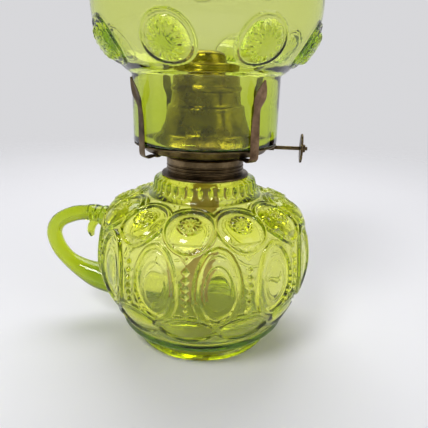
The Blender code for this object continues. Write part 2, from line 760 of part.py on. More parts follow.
def wick_row(height):
    """The middle and the width's direction of the wick at a height: it hangs straight in the
    tube, then sways and twists in the font."""
    loose = max(0.0, (WICK_LOOSE_Z - height) / (WICK_LOOSE_Z - WICK_BOTTOM_Z))
    twist = math.radians(75) * math.sin(math.pi * min(1.0, 1.35 * loose)) ** 2
    middle = Vector((-0.003 * loose, 0.003 * math.sin(2 * math.pi * loose), height))
    return middle, Vector((math.cos(twist), math.sin(twist), 0))


def make_wick():
    rows = 26
    soft = bmesh.new()
    edges = []
    for i in range(rows + 1):
        middle, across = wick_row(WICK_TOP_Z + (WICK_BOTTOM_Z - WICK_TOP_Z) * i / rows)
        reach = across * WICK_WIDTH / 2
        edges.append([soft.verts.new(middle + s * reach) for s in (-1, 0, 1)])
    for upper, lower in zip(edges, edges[1:]):
        for k in (0, 1):
            soft.faces.new((upper[k], lower[k], lower[k + 1], upper[k + 1]))
    mesh = bpy.data.meshes.new("wick")
    soft.to_mesh(mesh)
    soft.free()
    wick = new_object("wick", mesh, material("wick_cotton", (0.45, 0.33, 0.18), 0.95))
    wall = wick.modifiers.new("weave", "SOLIDIFY")
    wall.thickness = WICK_THICKNESS
    wall.offset = 0


def make_shade():
    """A straight fitter, a round bulb and a flared crown, in one wall."""
    fitter_top = SHADE_Z + FITTER_HEIGHT
    equator_z = fitter_top + 0.52 * BULB_HEIGHT
    neck_z = fitter_top + 1.06 * BULB_HEIGHT
    top = neck_z + SHADE_CROWN_HEIGHT
    path = [(SHADE_RIM_RADIUS, top)]
    path += bezier(
        path[0],
        (SHADE_RIM_RADIUS - 0.0045, top - 0.012),
        (SHADE_NECK_RADIUS, neck_z + 0.018),
        (SHADE_NECK_RADIUS, neck_z),
        5,
    )
    path += bezier(
        path[-1],
        (SHADE_NECK_RADIUS + 0.0010, neck_z - 0.0060),
        (BULB_RADIUS, neck_z - 0.0100),
        (BULB_RADIUS, equator_z),
        7,
    )
    path += bezier(
        path[-1],
        (BULB_RADIUS, equator_z - 0.0190),
        (FITTER_RADIUS + 0.0110, fitter_top + 0.0072),
        (FITTER_RADIUS, fitter_top),
        7,
    )
    path += [(FITTER_RADIUS, fitter_top - 0.4 * FITTER_HEIGHT), (FITTER_RADIUS, SHADE_Z)]
    turned("shade", shell_outline(path, SHADE_WALL), green_glass("shade_glass"))


def stand_on_origin():
    """Hangs every piece and cutter on an empty on the lamp's axis."""
    axis = bpy.data.objects.new("lamp_axis", None)
    axis.location.x = LAMP_X
    for obj in list(PARTS.objects) + list(CUTTERS.objects):
        obj.parent = axis
    PARTS.objects.link(axis)


clear_scene()
PARTS = collection(NAME)
CUTTERS = collection(NAME + "_cutters")
make_font()
make_handle()
make_collar()
make_cement()
make_skirt()
make_base_plate()
make_wick_tube()
make_vent_tube()
make_pan()
make_gallery_plate()
make_deflector()
make_bearings()
make_winder()
make_bush()
make_prongs()
make_rivets()
make_wick()
make_shade()
stand_on_origin()
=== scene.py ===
import math

import bmesh
import bpy
import numpy as np
from mathutils import Matrix, Vector


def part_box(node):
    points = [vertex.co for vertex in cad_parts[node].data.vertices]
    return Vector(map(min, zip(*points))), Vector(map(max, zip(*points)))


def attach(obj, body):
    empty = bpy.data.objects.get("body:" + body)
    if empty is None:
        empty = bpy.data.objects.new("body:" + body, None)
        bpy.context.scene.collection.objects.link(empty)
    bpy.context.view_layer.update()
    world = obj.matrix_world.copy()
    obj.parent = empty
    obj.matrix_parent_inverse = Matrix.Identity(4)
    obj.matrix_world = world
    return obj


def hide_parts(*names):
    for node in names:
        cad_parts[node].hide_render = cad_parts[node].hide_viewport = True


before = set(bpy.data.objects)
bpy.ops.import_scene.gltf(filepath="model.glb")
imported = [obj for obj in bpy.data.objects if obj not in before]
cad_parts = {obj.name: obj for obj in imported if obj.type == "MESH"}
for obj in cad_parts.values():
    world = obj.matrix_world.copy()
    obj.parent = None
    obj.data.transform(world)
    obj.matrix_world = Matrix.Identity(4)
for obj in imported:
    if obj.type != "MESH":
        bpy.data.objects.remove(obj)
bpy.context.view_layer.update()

# The looks of a pressed glass finger lamp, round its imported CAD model. Lengths are in
# millimetres and turned into metres by MM. Heights are from the table, and radii and x from
# the lamp's own axis, which the handle sets off from the middle of the CAD box.
MM = 0.001
SHADE_LOW, SHADE_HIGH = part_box("shade")
AXIS_X = (SHADE_LOW[0] + SHADE_HIGH[0]) / 2 / MM
FACING = -90.0  # degrees from +X to the side that faces the front

# Font
BOWL_RADIUS = 60.2
BOWL_EQUATOR = 48.5
BOWL_TOP = 93.6
GLASS_WALL = 3.6
BOWL_SECTORS = 12
BOWL_COLUMNS = 60  # in each sector
RELIEF_ROOM = 1.75  # how far the ground is sunk, so that the relief stays in the CAD box
BEADS = 40
BEAD_FOOT = (28.6, 87.2)  # radius and height where the neck ends and the bowl's side begins
BOWL_BASE = (47.0, 12.0)  # where the bowl's side ends above the foot

# Shade
SHADE_SECTORS = 8
SHADE_COLUMNS = 80
SHADE_FIRST = -10.3  # degrees from the front to the first lower moon
SHADE_ROOM = 0.5  # how far the ground is sunk
SHADE_WALL = 2.1
SHADE_FOOT = 112.5
SHADE_TOP = 258.0
LOW_MOONS = 158.0  # heights of the two rows of moons
HIGH_MOONS = 198.5
FITTER_RADIUS = 37.9
FITTER_TOP = 151.0  # where the fitter's extra thickness begins
FITTER_EASE = 22.0  # the height over which it grows
FITTER_EXTRA = 1.4  # how much thicker the fitter is inside

# Burner
COLLAR_TOP = 104.1
PAN_FLOOR = 107.8  # top of the pan's floor
DOME_FOOT = 112.9
DOME_TOP = 157.0
SHAFT_Y = 4.2
SHAFT_Z = 109.1
PRONG_CIRCLE = 29.9  # radius of the rivets' circle
PRONG_Z = 106.7  # middle of a prong's flat tail
PRONG_SHEET = 0.30  # half of its thickness


def bezier(start, first, second, end, count):
    """Points along a cubic curve after its start, up to and with its end."""
    t = np.arange(1, count + 1)[:, None] / count
    nodes = [np.array(p, float) for p in (start, first, second, end)]
    weights = ((1 - t) ** 3, 3 * t * (1 - t) ** 2, 3 * t * t * (1 - t), t**3)
    return [tuple(p) for p in sum(w * p for w, p in zip(weights, nodes))]


def softened(outline, radius, closed=True, steps=4):
    """The outline with each corner turned into a small curve."""
    made = []
    count = len(outline)
    for i, point in enumerate(outline):
        if not closed and i in (0, count - 1):
            made.append(tuple(point))
            continue
        here = Vector(point)
        before = Vector(outline[i - 1]) - here
        after = Vector(outline[(i + 1) % count]) - here
        start = here + before.normalized() * min(radius, 0.45 * before.length)
        end = here + after.normalized() * min(radius, 0.45 * after.length)
        for k in range(steps + 1):
            t = k / steps
            made.append(tuple((1 - t) ** 2 * start + 2 * t * (1 - t) * here + t * t * end))
    return made


def travelled(path):
    """How far along the path each of its points lies."""
    return np.r_[0, np.cumsum(np.hypot(*np.diff(path, axis=0).T))]


def resampled(path, step):
    """The path as an array of points that lie step apart."""
    path = np.array(path, float)
    lengths = travelled(path)
    count = max(2, int(round(lengths[-1] / step)) + 1)
    places = np.linspace(0, lengths[-1], count)
    return np.stack([np.interp(places, lengths, column) for column in path.T], 1)


def normals_of(path):
    """Unit normals to the left of a (radius, height) path, which is outwards as it runs down."""
    ahead = np.gradient(path, axis=0)
    ahead /= np.linalg.norm(ahead, axis=1)[:, None] + 1e-12
    return np.stack([-ahead[:, 1], ahead[:, 0]], 1)


def inward(path, distance):
    """The path moved that far to its right, which is into the glass or sheet."""
    path = np.array(path, float)
    return path - normals_of(path) * distance


def full_turn(count):
    """So many even angles round a circle."""
    return 2 * np.pi * np.arange(count) / count


def smoothstep(share):
    return share * share * (3 - 2 * share)


def squared_off(wave, power):
    """A sine or cosine whose flanks are steeper as the power falls below 1."""
    return np.sign(wave) * np.abs(wave) ** power


def skin(name, grid, loop=False, capped=False):
    """A smooth mesh over rows of points that run round. loop joins the last row to the first,
    and capped closes both ends with a fan."""
    rows, columns = grid.shape[:2]
    points = grid.reshape(-1, 3)
    index = np.arange(rows * columns).reshape(rows, columns)
    above = index if loop else index[:-1]
    below = np.roll(index, -1, axis=0) if loop else index[1:]
    corners = [above, below, np.roll(below, -1, axis=1), np.roll(above, -1, axis=1)]
    faces = np.stack(corners, -1).reshape(-1, 4).tolist()
    if capped:
        first, last = len(points), len(points) + 1
        points = np.vstack([points, grid[0].mean(axis=0), grid[-1].mean(axis=0)])
        rim = list(range(columns)) + [0]
        end = rows * columns - columns
        faces += [[first, a, b] for a, b in zip(rim, rim[1:])]
        faces += [[end + a, last, end + b] for a, b in zip(rim, rim[1:])]
    mesh = bpy.data.meshes.new(name)
    mesh.from_pydata((points * MM).tolist(), [], faces)
    mesh.shade_smooth()
    return mesh


def mesh_from(name, soft):
    """The bmesh as a mesh. The bmesh is freed."""
    mesh = bpy.data.meshes.new(name)
    soft.to_mesh(mesh)
    soft.free()
    return mesh


def linked(name, data):
    obj = bpy.data.objects.new(name, data)
    bpy.context.scene.collection.objects.link(obj)
    return obj


def baked(obj):
    """A new mesh of obj with its modifiers applied."""
    bpy.context.view_layer.update()
    graph = bpy.context.evaluated_depsgraph_get()
    return bpy.data.meshes.new_from_object(obj.evaluated_get(graph))


def place(name, mesh, look, body, slot, *nodes, sharp=None):
    """Adds a piece about the lamp's axis that rides on body and stands for the CAD nodes.
    sharp is the angle in degrees over which its edges stay sharp."""
    obj = linked(name, mesh)
    obj.location.x = AXIS_X * MM
    mesh.materials.append(look)
    if sharp:
        mesh.set_sharp_from_angle(angle=math.radians(sharp))
    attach(obj, body)
    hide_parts(*nodes)
    return obj


def spun(radius, height, angles):
    """Points at each angle about Z, for columns of radii and heights or for whole grids."""
    return np.stack([radius * np.cos(angles), radius * np.sin(angles), height + 0 * angles], -1)


def turned_grid(outline, angles):
    """An outline of (radius, height) points turned about Z."""
    outline = np.array(outline, float)
    return spun(outline[:, :1], outline[:, 1:], angles)


def turned(name, outline, columns=160, corner=0.15):
    """A body of revolution about Z. The outline is a closed loop that runs down outside."""
    grid = turned_grid(softened(outline, corner), full_turn(columns))
    return skin(name, grid, loop=True)


# ---------------------------------------------------------------- materials


def new_look(name):
    """A new material, with its nodes, its links and its shader."""
    look = bpy.data.materials.new(name)
    look.use_nodes = True
    return look, look.node_tree.nodes, look.node_tree.links, look.node_tree.nodes["Principled BSDF"]


def noise(nodes, links, scale, detail=4.0, rough=0.55, stretch=(1, 1, 1)):
    """Noise in the object's own space, scale to the metre."""
    where = nodes.new("ShaderNodeTexCoord")
    mapping = nodes.new("ShaderNodeMapping")
    mapping.inputs["Scale"].default_value = stretch
    made = nodes.new("ShaderNodeTexNoise")
    made.inputs["Scale"].default_value = scale
    made.inputs["Detail"].default_value = detail
    made.inputs["Roughness"].default_value = rough
    links.new(where.outputs["Object"], mapping.inputs["Vector"])
    links.new(mapping.outputs["Vector"], made.inputs["Vector"])
    return made.outputs["Fac"]


def ramp(nodes, links, factor, stops):
    """The factor turned into a colour by stops of (position, colour)."""
    made = nodes.new("ShaderNodeValToRGB")
    links.new(factor, made.inputs["Fac"])
    elements = made.color_ramp.elements
    while len(elements) < len(stops):
        elements.new(0.5)
    for element, (position, colour) in zip(elements, stops):
        element.position = position
        element.color = (*colour, 1.0)
    return made.outputs["Color"]


def bump(nodes, links, shader, height, strength, distance):
    """Fine unevenness for the shader. distance is in metres."""
    made = nodes.new("ShaderNodeBump")
    made.inputs["Strength"].default_value = strength
    made.inputs["Distance"].default_value = distance
    links.new(height, made.inputs["Height"])
    links.new(made.outputs["Normal"], shader.inputs["Normal"])


def glass(name, absorbed):
    """Pressed glass, coloured through its thickness, with a slightly wavy surface.
    absorbed is its absorption a metre for red, green and blue."""
    look, nodes, links, shader = new_look(name)
    shader.inputs["Base Color"].default_value = (1, 1, 1, 1)
    shader.inputs["Transmission Weight"].default_value = 1.0
    shader.inputs["IOR"].default_value = 1.5
    rough = ramp(
        nodes, links, noise(nodes, links, 70.0), [(0.35, (0.0,) * 3), (0.75, (0.05,) * 3)]
    )
    links.new(rough, shader.inputs["Roughness"])
    bump(nodes, links, shader, noise(nodes, links, 120.0, 2.0), 0.10, 0.0006)
    volume = nodes.new("ShaderNodeVolumeAbsorption")
    # The colour and density that absorb exactly this much, with no part of the colour at 0.
    density = 1.05 * max(absorbed)
    volume.inputs["Color"].default_value = (*(1 - a / density for a in absorbed), 1.0)
    volume.inputs["Density"].default_value = density
    output = nodes["Material Output"]
    links.new(volume.outputs["Volume"], output.inputs["Volume"])
    return look


def brass(name, dark, middle, bright, rough=(0.26, 0.48), scale=90.0):
    """Sheet brass with tarnish in patches, dark specks, a fine grain, and a shine that is
    duller where it is darker. rough is the roughness of the bright and of the dark."""
    look, nodes, links, shader = new_look(name)
    shader.inputs["Metallic"].default_value = 1.0
    patches = noise(nodes, links, scale, 8.0, 0.62)
    colour = ramp(nodes, links, patches, [(0.34, dark), (0.52, middle), (0.72, bright)])
    specks = noise(nodes, links, scale * 9, 3.0)
    speckled = ramp(nodes, links, specks, [(0.30, (0.55,) * 3), (0.46, (1.0,) * 3)])
    mix = nodes.new("ShaderNodeMix")
    mix.data_type = "RGBA"
    mix.blend_type = "MULTIPLY"
    mix.inputs["Factor"].default_value = 0.55
    links.new(colour, mix.inputs["A"])
    links.new(speckled, mix.inputs["B"])
    links.new(mix.outputs["Result"], shader.inputs["Base Color"])
    links.new(
        ramp(nodes, links, patches, [(0.3, (rough[1],) * 3), (0.75, (rough[0],) * 3)]),
        shader.inputs["Roughness"],
    )
    fine = noise(nodes, links, 900.0, 3.0, stretch=(1, 1, 4))
    bump(nodes, links, shader, fine, 0.12, 0.0002)
    return look


def cotton():
    """Lamp wick cotton, dry and oil-stained, with the weave's fine threads."""
    look, nodes, links, shader = new_look("wick_cotton")
    stains = noise(nodes, links, 60.0, 6.0)
    tones = [(0.3, (0.46, 0.31, 0.18)), (0.52, (0.68, 0.50, 0.33)), (0.8, (0.84, 0.68, 0.48))]
    links.new(ramp(nodes, links, stains, tones), shader.inputs["Base Color"])
    shader.inputs["Roughness"].default_value = 0.9
    shader.inputs["Sheen Weight"].default_value = 0.25
    threads = noise(nodes, links, 1500.0, 2.0, stretch=(1, 1, 3))
    bump(nodes, links, shader, threads, 0.5, 0.0003)
    return look


def cement():
    """Old plaster, uneven in tone and grainy."""
    look, nodes, links, shader = new_look("plaster")
    grains = noise(nodes, links, 400.0, 8.0)
    tones = [(0.3, (0.50, 0.47, 0.40)), (0.7, (0.72, 0.69, 0.62))]
    links.new(ramp(nodes, links, grains, tones), shader.inputs["Base Color"])
    shader.inputs["Roughness"].default_value = 0.95
    bump(nodes, links, shader, grains, 0.4, 0.0003)
    return look


BOWL_GLASS = glass("bowl_glass", (24.0, 15.0, 340.0))
HANDLE_GLASS = glass("handle_glass", (76.0, 52.0, 470.0))
SHADE_GLASS = glass("shade_glass", (68.0, 43.0, 420.0))
AGED = brass("aged_brass", (0.05, 0.034, 0.018), (0.15, 0.105, 0.052), (0.32, 0.235, 0.13))
ROSY = brass("rosy_brass", (0.10, 0.060, 0.032), (0.27, 0.172, 0.098), (0.44, 0.305, 0.185))
YELLOW = brass(
    "yellow_brass", (0.11, 0.078, 0.012), (0.30, 0.235, 0.045), (0.52, 0.42, 0.12), (0.16, 0.32)
)
COTTON = cotton()
CEMENT = cement()


# ---------------------------------------------------------------- pressed relief


def stroke(u, v, points, width, height):
    """A rounded ridge along a polyline."""
    nearest = np.full(u.shape, 1e9)
    for (x0, y0), (x1, y1) in zip(points, points[1:]):
        dx, dy = x1 - x0, y1 - y0
        t = np.clip(((u - x0) * dx + (v - y0) * dy) / (dx * dx + dy * dy + 1e-9), 0, 1)
        nearest = np.minimum(nearest, np.hypot(u - x0 - t * dx, v - y0 - t * dy))
    share = np.clip(nearest / (width / 2), 0, 1)
    return height * np.sqrt(1 - share**2)


def level_on(height, along):
    """A function that turns a height into the distance along the path there."""
    upright = np.argsort(height)
    return lambda z: np.interp(z, height[upright], along[upright])


def traced(points, level):
    """A smooth line through (distance aside, height) points, for stroke."""
    return [(aside, level(z)) for aside, z in smooth_curve(points, 1.0)]


def sector_grid(radius, along, sectors, columns):
    """Over one sector: distances aside from its middle, along the path, and from its edge."""
    angle = np.pi / sectors * (2 * np.arange(columns) / columns - 1)
    u = radius[:, None] * angle[None, :]
    v = along[:, None] + 0 * u
    return u, v, radius[:, None] * np.pi / sectors - np.abs(u)


def pressed(path, rows, pattern, sectors, columns, room, fade):
    """One sector's pattern repeated all round those rows of the path and eased out over fade
    at both ends. The ground between is sunk by room."""
    along = -travelled(path)[rows]
    share = np.clip(np.minimum(along[0] - along, along - along[-1]) / fade, 0, 1)
    relief = np.zeros((len(path), sectors * columns))
    one = pattern(path[rows, 0], path[rows, 1], along)
    relief[rows] = np.tile(one, (1, sectors)) * np.minimum(1, 0.2 + share)[:, None]
    relief[rows] -= room * smoothstep(share)[:, None]
    return relief


def displaced(path, relief, angles):
    """The path turned about Z, each point moved outwards by its relief."""
    normal = normals_of(path)
    radius = path[:, :1] + normal[:, :1] * relief
    height = path[:, 1:] + normal[:, 1:] * relief
    return spun(radius, height, angles)


def disc(distance, radius, height, power=2.0):
    """A dome over a round patch, whose edge is steeper as power grows."""
    return height * (1 - np.clip(distance / radius, 0, 1) ** power)


def ring(distance, radius, width, height):
    """A rounded ridge round a patch."""
    share = np.clip(np.abs(distance - radius) / (width / 2), 0, 1)
    return height * np.sqrt(1 - share**2)


def smooth_curve(points, step=0.6):
    """A curve through the points, as a polyline."""
    points = np.array(points, float)
    padded = np.vstack([2 * points[0] - points[1], points, 2 * points[-1] - points[-2]])
    made = []
    for a, b, c, d in zip(padded, padded[1:], padded[2:], padded[3:]):
        count = max(2, int(np.linalg.norm(c - b) / step))
        for t in np.arange(count) / count:
            made.append(
                0.5 * (2 * b + (c - a) * t + (2 * a - 5 * b + 4 * c - d) * t**2
                       + (3 * b - a - 3 * c + d) * t**3)
            )
    return np.vstack(made + [points[-1]])


def rosette(u, v, radius, petals, depth):
    """Radial petals sunk in a round patch, with a beaded edge."""
    distance = np.hypot(u, v)
    angle = np.arctan2(u, v)
    inside = np.clip((radius - distance) / 0.5, 0, 1)
    swell = np.sin(np.pi * np.clip(distance / radius, 0, 1)) ** 0.7
    petal = np.abs(np.cos(petals / 2 * angle)) ** 0.8
    height = inside * (-depth + 1.5 * depth * petal * swell)
    height += inside * disc(distance, radius * 0.22, depth)
    beads = ring(distance, radius, 1.3, depth * 0.9) * (0.45 + 0.55 * petal)
    return height + beads


def star_ring(u, v, radius, points, depth):
    """Short notches round a clear middle, as the points of a star."""
    distance = np.hypot(u, v)
    angle = np.arctan2(u, v)
    notch = np.abs(np.cos(points / 2 * angle)) ** 1.5
    band = np.exp(-(((distance / radius - 0.86) / 0.20) ** 2))
    hollow = np.clip((radius - distance) / 1.0, 0, 1) * 0.45 * depth
    return band * depth * (notch - 0.35) - hollow


# ---------------------------------------------------------------- font


def bowl_side():
    """The bowl's outer side, from under the bead ring down to its base."""
    start, shoulder, equator = (27.2, 87.0), (55.0, 73.5), (BOWL_RADIUS, BOWL_EQUATOR)
    path = [start]
    path += bezier(start, (35.54, 83.8), (48.88, 79.7), shoulder, 60)
    path += bezier(shoulder, (57.4, 68.7), (BOWL_RADIUS, 57.5), equator, 50)
    path += bezier(equator, (BOWL_RADIUS, 36.0), (53.8, 24.5), BOWL_BASE, 70)
    return path


OVAL_MIDDLE = 52.0
MOON_MIDDLE = 77.7


def oval_outline(scale):
    """Half of the tall oval, as (distance from its middle, height)."""
    half = [(0.0, 71.5), (4.3, 69.6), (7.6, 64.8), (9.8, 58.8), (10.7, OVAL_MIDDLE)]
    half += [(10.2, 45.6), (8.0, 39.8), (4.4, 35.4), (0.0, 33.2)]
    return [(w * scale, OVAL_MIDDLE + (z - OVAL_MIDDLE) * scale) for w, z in half]


def add_moon(total, u, v, level):
    """The domed moon between two ovals, its rims, and its rosette."""
    moon = level(MOON_MIDDLE) + 1.2
    distance = np.hypot(1.1 * u, v - moon)
    total = np.maximum(total, disc(distance, 12.2, 2.2, 3.0))
    total = np.maximum(total, ring(distance, 13.4, 1.9, 1.6))
    upper = np.clip((v - moon) / 5.0, 0, 1)
    total = np.maximum(total, ring(distance, 15.8, 1.8, 1.2) * upper)
    middle = moon + 2.2
    near = np.hypot(u, v - middle) < 6.4
    return total + rosette(u, v - middle, 5.4, 12, 0.9) * near


def add_oval(total, edge, v, level):
    """The tall oval on the sector's edge: three outlines, a swelling, and a grooved lower lip."""
    for scale, width, tall in ((1.0, 3.0, 1.55), (0.84, 1.3, 0.40), (0.60, 1.1, 0.22)):
        line = traced(oval_outline(scale), level)
        total = np.maximum(total, stroke(edge, v, line, width, tall))
    bulge = np.hypot(edge / 5.0, (v - level(OVAL_MIDDLE)) / 8.0)
    total = np.maximum(total, disc(bulge, 1.0, 0.35))
    lip = traced([(10.4, 46.5), (8.2, 40.2), (4.6, 35.8), (0.0, 33.4)], level)
    total = np.maximum(total, stroke(edge, v, lip, 4.4, 1.6))
    return total - stroke(edge, v, lip, 1.2, 0.7)


def add_studs(total, u, v, level):
    """Between two ovals: a chevron with pearls, then a column of studs on a mound."""
    side = np.abs(u)
    chevron = [(5.6, level(71.5)), (2.8, level(69.2)), (0.0, level(66.2))]
    total = np.maximum(total, stroke(side, v, chevron, 1.9, 1.1))
    for x, z in ((0.0, 69.3), (1.9, 70.7), (3.7, 72.2)):
        total = np.maximum(total, disc(np.hypot(side - x, v - level(z)), 0.95, 0.8))
    for k in range(6):
        stud = side / 1.95 + np.abs(v - level(61.0 - 4.0 * k)) / 2.0
        total = np.maximum(total, 1.8 * np.clip(1 - stud, 0, 1))
    mound = np.hypot(u / 2.3, (v - level(39.2)) / 1.8)
    return np.maximum(total, disc(mound, 1.0, 1.0))


def add_band(total, u, v, level):
    """The wavy band under the ovals: two arcs and an inner line round a lens."""
    side = np.abs(u)
    top = [(0, 37.6), (5, 36.9), (10, 35.0), (15, 32.2)]
    low = [(0, 19.6), (5, 20.2), (10, 22.4), (15, 26.2)]
    inner = [(0, 35.2), (5, 34.4), (9, 32.6), (12.5, 29.8)]
    for arc, width, tall in ((top, 1.9, 1.0), (low, 2.1, 1.1), (inner, 1.1, 0.6)):
        total = np.maximum(total, stroke(side, v, traced(arc, level), width, tall))
    lens = np.hypot(u / 12.0, (v - level(27.6)) / 7.4)
    return np.maximum(total, disc(lens, 1.0, 0.9, 2.5))


def bowl_relief(radius, height, along):
    """How far the pattern stands out, for one sector with the moon in its middle."""
    level = level_on(height, along)
    u, v, edge = sector_grid(radius, along, BOWL_SECTORS, BOWL_COLUMNS)
    total = add_moon(np.zeros(u.shape), u, v, level)
    total = add_oval(total, edge, v, level)
    total = add_studs(total, u, v, level)
    return add_band(total, u, v, level)


def font_path():
    """The glass's inside, up from its floor, and its outside, down and in under the foot."""
    side = bowl_side()
    cavity = [tuple(p) for p in inward(side, GLASS_WALL) if p[0] > 27.5][::-1]
    inside = [(0.4, 12.5), (cavity[0][0] - 6, 12.9)] + cavity
    inside += [(25.6, 84.0), (23.8, 86.6), (22.6, 90.4), (17.0, 94.0), (17.0, 100.0)]
    neck = [(18.6, 100.0), (18.6, BOWL_TOP), (23.8, BOWL_TOP), (27.4, 92.2)]
    neck += [(27.9, 90.0), (28.0, 88.2), BEAD_FOOT]
    side = [p for p in side if p[0] > 30.0]
    foot = [(44.0, 10.0), (37.2, 9.6), (36.2, 8.4), (36.6, 5.5), (37.9, 3.2), (38.7, 2.5)]
    foot += [(38.7, 0.7), (38.1, 0.0), (33.0, 0.0), (31.5, 4.3), (20.0, 5.4), (0.4, 5.5)]
    inner = resampled(softened(inside, 3.0, closed=False), 2.0)
    outer = resampled(softened(neck + side + foot, 0.45, closed=False), 0.45)
    return inner, outer


def bead_ring(outer, angles):
    """Upright beads round the top of the bowl, mostly cut into its outline."""
    rows = (outer[:, 1] > 86.6) & (outer[:, 1] < 92.8) & (outer[:, 0] > 26)
    share = np.clip(1 - np.abs(outer[:, 1] - 89.7) / 3.1, 0, 1) * rows
    beads = np.abs(np.cos(BEADS / 2 * angles)) ** 0.7
    return np.sqrt(share)[:, None] * (1.5 * beads - 1.2)[None, :]


def make_font():
    """The hollow bowl on its foot, with its neck, beads and pressed pattern."""
    inner, outer = font_path()
    start, stop = [int(np.argmin(np.hypot(*(outer - p).T))) for p in (BEAD_FOOT, BOWL_BASE)]
    relief = pressed(
        outer, slice(start, stop), bowl_relief, BOWL_SECTORS, BOWL_COLUMNS, RELIEF_ROOM, 4.0
    )
    # The middle of each sector is a moon, and one faces the front.
    angles = np.radians(FACING - 180.0 / BOWL_SECTORS) + full_turn(relief.shape[1])
    relief += bead_ring(outer, angles)
    grid = np.concatenate([turned_grid(inner, angles), displaced(outer, relief, angles)])
    mesh = skin("glass_font", grid, capped=True)
    return place("glass_font", mesh, BOWL_GLASS, "base", "green_glass", "font")


# ---------------------------------------------------------------- handle


def swept(name, route, around=28, flat=1.0):
    """A bar along a route in the XZ plane, given as (x, z, radius). It is flat times as deep
    in Y as it is thick."""
    route = smooth_curve(route, 0.7)
    centre = np.stack([route[:, 0], 0 * route[:, 0], route[:, 1]], 1)
    ahead = np.gradient(centre, axis=0)
    ahead /= np.linalg.norm(ahead, axis=1)[:, None]
    up = np.cross(np.array([0.0, 1.0, 0.0]), ahead)
    turn = full_turn(around)[None, :, None]
    rings = up[:, None, :] * np.cos(turn)
    rings = rings + np.cross(up, ahead)[:, None, :] * np.sin(turn) * flat
    return skin(name, centre[:, None, :] + route[:, 2][:, None, None] * rings, capped=True)


def leaf_mesh(name, middle, size, lean):
    """A flattened drop of glass, leaning by so many degrees about Y."""
    soft = bmesh.new()
    bmesh.ops.create_uvsphere(soft, u_segments=32, v_segments=20, radius=1.0)
    bmesh.ops.scale(soft, vec=Vector(size) * MM, verts=soft.verts)
    bmesh.ops.rotate(soft, matrix=Matrix.Rotation(math.radians(lean), 3, "Y"), verts=soft.verts)
    bmesh.ops.translate(soft, vec=Vector(middle) * MM, verts=soft.verts)
    return mesh_from(name, soft)


def merged(name, meshes, voxel, smoothing):
    """One closed mesh round all of them."""
    soft = bmesh.new()
    for mesh in meshes:
        soft.from_mesh(mesh)
    obj = linked(name, mesh_from(name, soft))
    remesh = obj.modifiers.new("remesh", "REMESH")
    remesh.mode = "VOXEL"
    remesh.voxel_size = voxel * MM
    ease = obj.modifiers.new("ease", "SMOOTH")
    ease.factor = 0.5
    ease.iterations = smoothing
    made = baked(obj)
    bpy.data.objects.remove(obj)
    made.shade_smooth()
    return made


def make_handle():
    """The drawn loop, with a crimped leaf on its upper root and a tongue that hangs from it."""
    thin, thick = 4.4, 7.9
    route = [
        (-55.5, 64.6, 1.20 * thin),
        (-63.2, 66.0, 1.05 * thin),
        (-71.2, 66.7, thin),
        (-79.0, 65.2, 1.03 * thin),
        (-87.8, 60.4, 1.01 * thin),
        (-91.4, 52.8, thin),
        (-88.9, 43.4, 1.02 * thin),
        (-82.9, 35.8, 1.07 * thin),
        (-74.5, 30.3, 0.78 * thick),
        (-65.5, 26.5, 1.01 * thick),
        (-54.0, 23.4, 1.08 * thick),
    ]
    leaf = [(-58.0, 67.6, 2.4), (-64.0, 69.2, 2.6), (-70.5, 69.0, 2.2), (-76.0, 67.2, 1.6)]
    tongue = [(-64.4, 62.6, 2.4), (-66.9, 59.6, 2.4), (-68.0, 56.0, 2.1), (-67.5, 52.4, 1.2)]
    meshes = [swept("loop", route), swept("leaf", leaf, 20, 1.9), swept("tongue", tongue, 20, 1.5)]
    meshes.append(leaf_mesh("pad", (-58.5, 0, 65.2), (4.6, 6.6, 6.4), 8))
    crimps = [(-59.4, 66.6, 5.9), (-62.9, 67.0, 6.0), (-66.4, 67.0, 5.8)]
    crimps += [(-69.9, 66.8, 5.4), (-73.3, 66.2, 4.9)]
    for x, z, wide in crimps:
        meshes.append(leaf_mesh("crimp", (x, 0, z), (1.35, wide, 3.9), 14))
    meshes.append(leaf_mesh("root", (-55.5, 0, 25.0), (7.5, 8.8, 9.0), -12))
    mesh = merged("glass_handle", meshes, 0.38, smoothing=3)
    return place("glass_handle", mesh, HANDLE_GLASS, "base", "green_glass", "handle")


# ---------------------------------------------------------------- shade


def shade_relief(radius, height, along):
    """The shade's pattern for one sector, whose middle is a lower moon's."""
    level = level_on(height, along)
    u, v, edge = sector_grid(radius, along, SHADE_SECTORS, SHADE_COLUMNS)
    low = v - level(LOW_MOONS)
    distance = np.hypot(u, low)
    total = np.maximum(disc(distance, 10.4, 3.3, 2.4), ring(distance, 11.5, 1.6, 0.9))
    total += star_ring(u, low, 7.0, 14, 1.1) * (distance < 10)
    high = v - level(HIGH_MOONS)
    distance = np.hypot(edge, high)
    total = np.maximum(total, disc(distance, 10.6, 2.0, 3.0))
    total = np.maximum(total, ring(distance, 11.7, 1.6, 0.8))
    return total + star_ring(edge, high, 6.4, 14, 0.9) * (distance < 10)


def shade_outline():
    """The shade's outer side, from its rim down to the fitter's foot."""
    rim, throat, belly = (38.5, SHADE_TOP), (31.0, 213.1), (56.5, 178.6)
    outer = [rim]
    outer += bezier(rim, (34.0, 246.0), (31.0, 231.1), throat, 60)
    outer += bezier(throat, (32.0, 207.1), (56.5, 203.1), belly, 70)
    outer += bezier(belly, (56.5, 159.6), (48.9, 152.5), (FITTER_RADIUS, 145.3), 60)
    return outer + [(FITTER_RADIUS, SHADE_FOOT - 0.4)]


